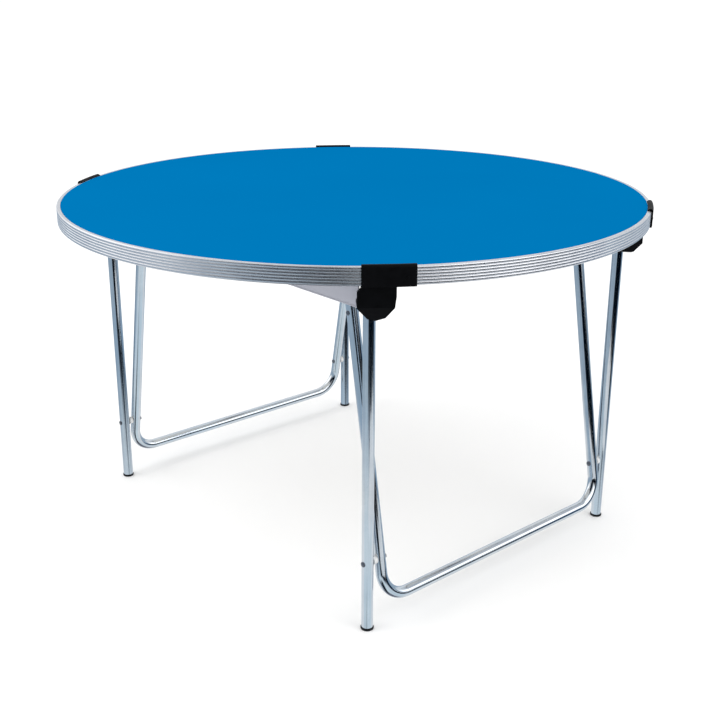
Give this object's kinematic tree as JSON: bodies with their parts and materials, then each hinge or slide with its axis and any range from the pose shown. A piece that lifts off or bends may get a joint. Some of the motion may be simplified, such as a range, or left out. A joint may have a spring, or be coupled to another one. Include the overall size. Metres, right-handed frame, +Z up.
{
  "type": "folding table",
  "caption": "Round folding table with a laminated top, ribbed metal edging and two tube leg frames that fold flat under the top.",
  "frame": {"origin": "centre of the footprint on the floor", "axes": "+Z up; +X towards leg frame a; the two leg frames fold about axes parallel to Y; +Y towards the back pair of legs"},
  "size_m": [1.2198, 1.22, 0.712],
  "materials": {
    "laminate": "smooth satin laminate, plain blue",
    "board": "raw particle board edge",
    "backing": "off-white balancing laminate",
    "edging": "ribbed extrusion, satin anodised",
    "black_plastic": "black moulded plastic, fine texture",
    "rail": "light grey powder coat",
    "tube": "bright zinc plate with a pale blue passivation",
    "zinc": "bright zinc plate",
    "nylon": "natural nylon"
  },
  "bodies": {
    "top": {"top_laminate": "laminate", "core_board": "board", "backing_laminate": "backing", "edging_front": "edging", "edging_back": "edging", "edging_splices": "edging", "cap_a_front": "black_plastic", "cap_a_back": "black_plastic", "cap_b_front": "black_plastic", "cap_b_back": "black_plastic", "cap_rivets": "black_plastic", "housing_a_front": "black_plastic", "housing_a_back": "black_plastic", "housing_b_front": "black_plastic", "housing_b_back": "black_plastic", "rail_front": "rail", "rail_back": "rail", "rail_screws": "zinc", "housing_screws": "zinc", "bracket_screws": "zinc", "pivot_pins_a": "zinc", "pivot_pins_b": "zinc", "bracket_a_front": "zinc", "bracket_a_back": "zinc", "bracket_b_front": "zinc", "bracket_b_back": "zinc", "clip_a": "black_plastic", "clip_b": "black_plastic", "clip_screws": "zinc"},
    "stay_a": {"stay_a": "tube", "stay_a_sleeves": "zinc", "stay_a_sleeve_rivets": "zinc", "stay_a_washers": "nylon", "leg_rivets_a": "zinc", "leg_spacers_a": "nylon"},
    "leg_a_front": {"leg_a_front": "tube", "foot_a_front": "black_plastic", "top_plug_a_front": "black_plastic"},
    "leg_a_back": {"leg_a_back": "tube", "foot_a_back": "black_plastic", "top_plug_a_back": "black_plastic"},
    "stay_b": {"stay_b": "tube", "stay_b_sleeves": "zinc", "stay_b_sleeve_rivets": "zinc", "stay_b_washers": "nylon", "leg_rivets_b": "zinc", "leg_spacers_b": "nylon"},
    "leg_b_front": {"leg_b_front": "tube", "foot_b_front": "black_plastic", "top_plug_b_front": "black_plastic"},
    "leg_b_back": {"leg_b_back": "tube", "foot_b_back": "black_plastic", "top_plug_b_back": "black_plastic"}
  },
  "joints": [
    {"name": "fold_a", "type": "hinge", "parent": "top", "child": "stay_a", "pos_m": [0.341, 0, 0.6715], "axis": [0, 1, 0], "range_deg": [0, 99.68]},
    {"name": "leg_pivot_a_front", "type": "hinge", "parent": "stay_a", "child": "leg_a_front", "pos_m": [0.432, -0.343, 0.138], "axis": [0, 1, 0], "range_deg": [-10.18, 0]},
    {"name": "leg_pivot_a_back", "type": "hinge", "parent": "stay_a", "child": "leg_a_back", "pos_m": [0.432, 0.343, 0.138], "axis": [0, 1, 0], "range_deg": [-10.18, 0]},
    {"name": "fold_b", "type": "hinge", "parent": "top", "child": "stay_b", "pos_m": [-0.341, 0, 0.6445], "axis": [0, -1, 0], "range_deg": [0, 100.19]},
    {"name": "leg_pivot_b_front", "type": "hinge", "parent": "stay_b", "child": "leg_b_front", "pos_m": [-0.432, -0.343, 0.138], "axis": [0, -1, 0], "range_deg": [-10.69, 0]},
    {"name": "leg_pivot_b_back", "type": "hinge", "parent": "stay_b", "child": "leg_b_back", "pos_m": [-0.432, 0.343, 0.138], "axis": [0, -1, 0], "range_deg": [-10.69, 0]}
  ],
  "couplings": [
    {"joint": "leg_pivot_a_front", "follows": "fold_a", "ratio": -0.09711},
    {"joint": "leg_pivot_a_back", "follows": "fold_a", "ratio": -0.09711},
    {"joint": "leg_pivot_b_front", "follows": "fold_b", "ratio": -0.10167},
    {"joint": "leg_pivot_b_back", "follows": "fold_b", "ratio": -0.10167}
  ]
}
